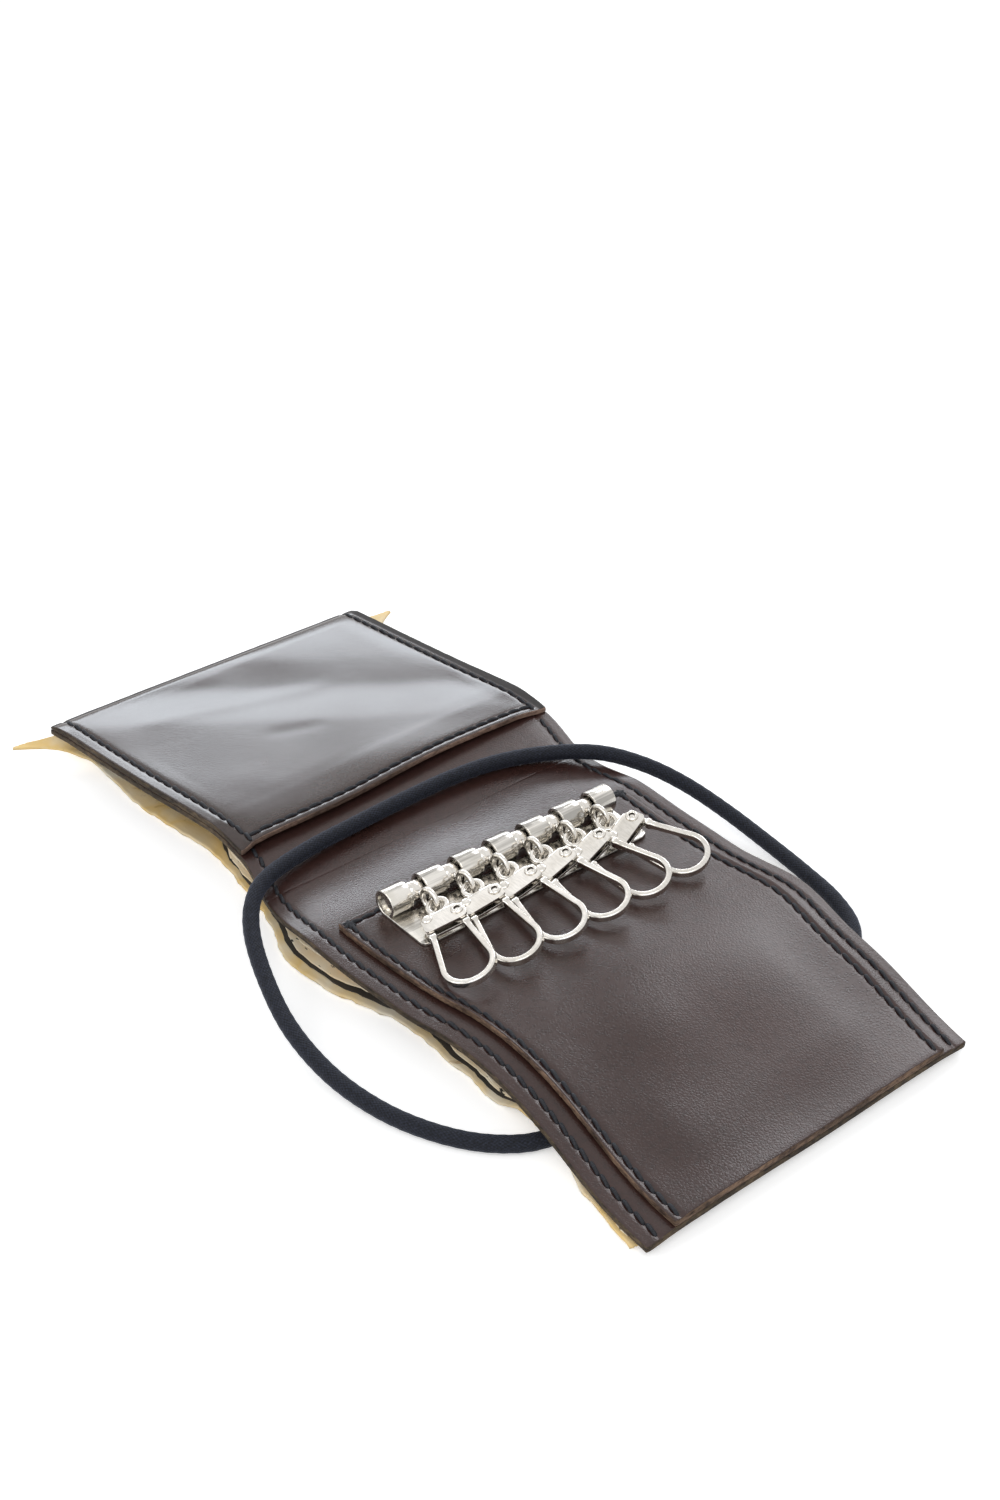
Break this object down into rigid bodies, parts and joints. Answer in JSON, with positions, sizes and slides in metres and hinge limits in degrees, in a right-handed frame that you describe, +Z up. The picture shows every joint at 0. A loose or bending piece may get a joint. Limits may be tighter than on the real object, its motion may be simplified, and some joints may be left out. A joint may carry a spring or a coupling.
{
  "type": "key case",
  "caption": "Folding leather key case that opens to a rack of hinged snap hooks and a flat pocket, with a round elastic band that holds it shut.",
  "frame": {"origin": "on the table, under the middle of the open case, without its elastic band", "axes": "+X along the folds and the hook rack's barrel, +Y from the key panel towards the pocket, +Z up from the table"},
  "size_m": [0.1087, 0.182, 0.0166],
  "materials": {
    "leather": "semi-gloss, fine grain",
    "sheet": "matte, thin sheet",
    "cover": "matte, worn and stained",
    "thread": "matte twisted thread",
    "nickel": "nickel-plated, polished",
    "elastic": "matte woven"
  },
  "bodies": {
    "near_panel": {"liner_near": "leather", "key_patch": "leather", "sheets_near": "sheet", "cover_near": "cover", "thread_near": "thread", "thread_patch": "thread", "rack_plate": "nickel", "rack_rod": "nickel", "rack_rivets": "nickel", "rivet_caps": "nickel", "elastic_keeper": "leather", "elastic_band": "elastic"},
    "spine": {"liner_spine": "leather", "sheets_spine": "sheet", "cover_spine": "cover", "thread_spine": "thread"},
    "far_panel": {"liner_far": "leather", "pocket_patch": "leather", "sheets_far": "sheet", "cover_far": "cover", "thread_far": "thread"},
    "link_1": {"hook_link_1": "nickel"},
    "head_1": {"hook_head_1": "nickel", "hook_pins_1": "nickel"},
    "loop_1": {"hook_loop_1": "nickel"},
    "link_2": {"hook_link_2": "nickel"},
    "head_2": {"hook_head_2": "nickel", "hook_pins_2": "nickel"},
    "loop_2": {"hook_loop_2": "nickel"},
    "link_3": {"hook_link_3": "nickel"},
    "head_3": {"hook_head_3": "nickel", "hook_pins_3": "nickel"},
    "loop_3": {"hook_loop_3": "nickel"},
    "link_4": {"hook_link_4": "nickel"},
    "head_4": {"hook_head_4": "nickel", "hook_pins_4": "nickel"},
    "loop_4": {"hook_loop_4": "nickel"},
    "link_5": {"hook_link_5": "nickel"},
    "head_5": {"hook_head_5": "nickel", "hook_pins_5": "nickel"},
    "loop_5": {"hook_loop_5": "nickel"},
    "link_6": {"hook_link_6": "nickel"},
    "head_6": {"hook_head_6": "nickel", "hook_pins_6": "nickel"},
    "loop_6": {"hook_loop_6": "nickel"}
  },
  "joints": [
    {"name": "fold_near", "type": "hinge", "parent": "near_panel", "child": "spine", "pos_m": [0, 0, 0.00889], "axis": [1, 0, 0], "range_deg": [0, 90], "deforming": ["elastic_band"]},
    {"name": "fold_far", "type": "hinge", "parent": "spine", "child": "far_panel", "pos_m": [0, 0.023, 0.00924], "axis": [1, 0, 0], "range_deg": [0, 100]},
    {"name": "link_swing_1", "type": "hinge", "parent": "near_panel", "child": "link_1", "pos_m": [-0.0205, -0.007, 0.01305], "axis": [1, 0, 0], "range_deg": [-110, 0]},
    {"name": "head_pitch_1", "type": "hinge", "parent": "link_1", "child": "head_1", "pos_m": [-0.0205, -0.01213, 0.0139], "axis": [1, 0, 0], "range_deg": [-45, 0]},
    {"name": "gate_1", "type": "hinge", "parent": "head_1", "child": "loop_1", "pos_m": [-0.01928, -0.01886, 0.01466], "axis": [0.3005, -0.0768, -0.9507], "range_deg": [-75, 0]},
    {"name": "link_swing_2", "type": "hinge", "parent": "near_panel", "child": "link_2", "pos_m": [-0.0123, -0.007, 0.01305], "axis": [1, 0, 0], "range_deg": [-110, 0]},
    {"name": "head_pitch_2", "type": "hinge", "parent": "link_2", "child": "head_2", "pos_m": [-0.0123, -0.01213, 0.0139], "axis": [1, 0, 0], "range_deg": [-45, 0]},
    {"name": "gate_2", "type": "hinge", "parent": "head_2", "child": "loop_2", "pos_m": [-0.01053, -0.01868, 0.01466], "axis": [0.3076, -0.0396, -0.9507], "range_deg": [-75, 0]},
    {"name": "link_swing_3", "type": "hinge", "parent": "near_panel", "child": "link_3", "pos_m": [-0.0041, -0.007, 0.01305], "axis": [1, 0, 0], "range_deg": [-110, 0]},
    {"name": "head_pitch_3", "type": "hinge", "parent": "link_3", "child": "head_3", "pos_m": [-0.0041, -0.01213, 0.0139], "axis": [1, 0, 0], "range_deg": [-45, 0]},
    {"name": "gate_3", "type": "hinge", "parent": "head_3", "child": "loop_3", "pos_m": [-0.00181, -0.01843, 0.01466], "axis": [0.3101, -0.0018, -0.9507], "range_deg": [-75, 0]},
    {"name": "link_swing_4", "type": "hinge", "parent": "near_panel", "child": "link_4", "pos_m": [0.0041, -0.007, 0.01305], "axis": [1, 0, 0], "range_deg": [-110, 0]},
    {"name": "head_pitch_4", "type": "hinge", "parent": "link_4", "child": "head_4", "pos_m": [0.0041, -0.01213, 0.0139], "axis": [1, 0, 0], "range_deg": [-45, 0]},
    {"name": "gate_4", "type": "hinge", "parent": "head_4", "child": "loop_4", "pos_m": [0.00688, -0.01812, 0.01466], "axis": [0.3081, 0.036, -0.9507], "range_deg": [-75, 0]},
    {"name": "link_swing_5", "type": "hinge", "parent": "near_panel", "child": "link_5", "pos_m": [0.0123, -0.007, 0.01305], "axis": [1, 0, 0], "range_deg": [-110, 0]},
    {"name": "head_pitch_5", "type": "hinge", "parent": "link_5", "child": "head_5", "pos_m": [0.0123, -0.01213, 0.0139], "axis": [1, 0, 0], "range_deg": [-45, 0]},
    {"name": "gate_5", "type": "hinge", "parent": "head_5", "child": "loop_5", "pos_m": [0.01553, -0.01775, 0.01466], "axis": [0.3014, 0.0733, -0.9507], "range_deg": [-75, 0]},
    {"name": "link_swing_6", "type": "hinge", "parent": "near_panel", "child": "link_6", "pos_m": [0.0205, -0.007, 0.01305], "axis": [1, 0, 0], "range_deg": [-110, 0]},
    {"name": "head_pitch_6", "type": "hinge", "parent": "link_6", "child": "head_6", "pos_m": [0.0205, -0.01213, 0.0139], "axis": [1, 0, 0], "range_deg": [-45, 0]},
    {"name": "gate_6", "type": "hinge", "parent": "head_6", "child": "loop_6", "pos_m": [0.02413, -0.01733, 0.01466], "axis": [0.2902, 0.1094, -0.9507], "range_deg": [-75, 0]}
  ]
}
